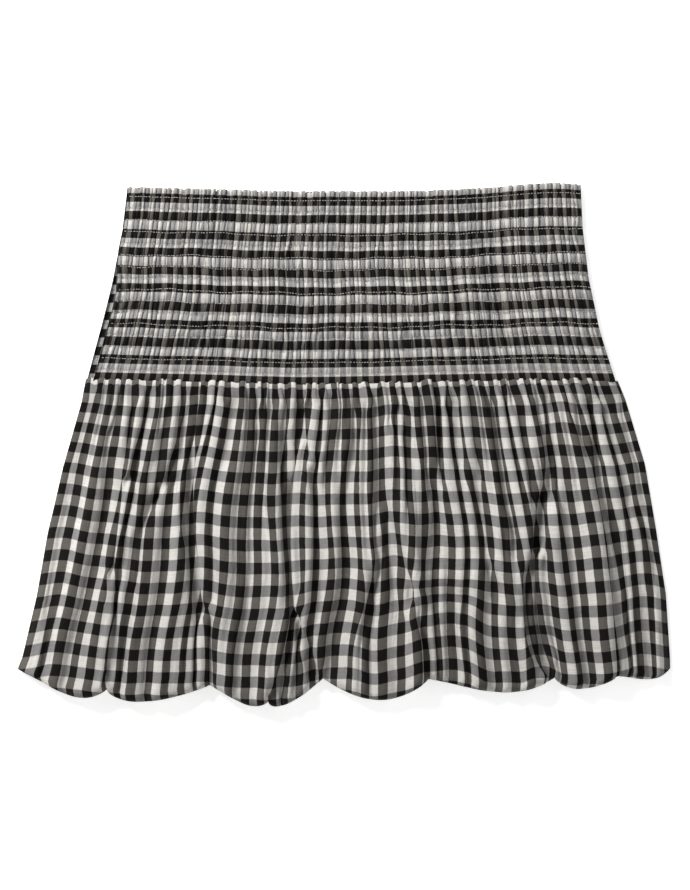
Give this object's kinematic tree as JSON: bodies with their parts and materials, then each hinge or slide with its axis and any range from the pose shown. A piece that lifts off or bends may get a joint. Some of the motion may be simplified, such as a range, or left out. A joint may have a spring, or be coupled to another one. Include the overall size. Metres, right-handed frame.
{
  "type": "balloon skirt",
  "caption": "Gingham balloon mini skirt laid flat: a shirred elastic yoke over a gathered panel whose hem rolls under to a band.",
  "frame": {"origin": "on the surface the skirt lies on, under the middle of its outline", "axes": "+X across the skirt, +Y up the skirt to the waist, +Z out of the front, away from the surface"},
  "size_m": [0.4912, 0.393, 0.0203],
  "materials": {
    "gingham_cotton": "matte",
    "shirred_gingham": "matte",
    "band_elastic": "matte"
  },
  "bodies": {
    "root": {"yoke_front": "shirred_gingham", "yoke_back": "shirred_gingham", "skirt_front": "gingham_cotton", "skirt_back": "gingham_cotton", "hem_band": "band_elastic"}
  },
  "joints": []
}
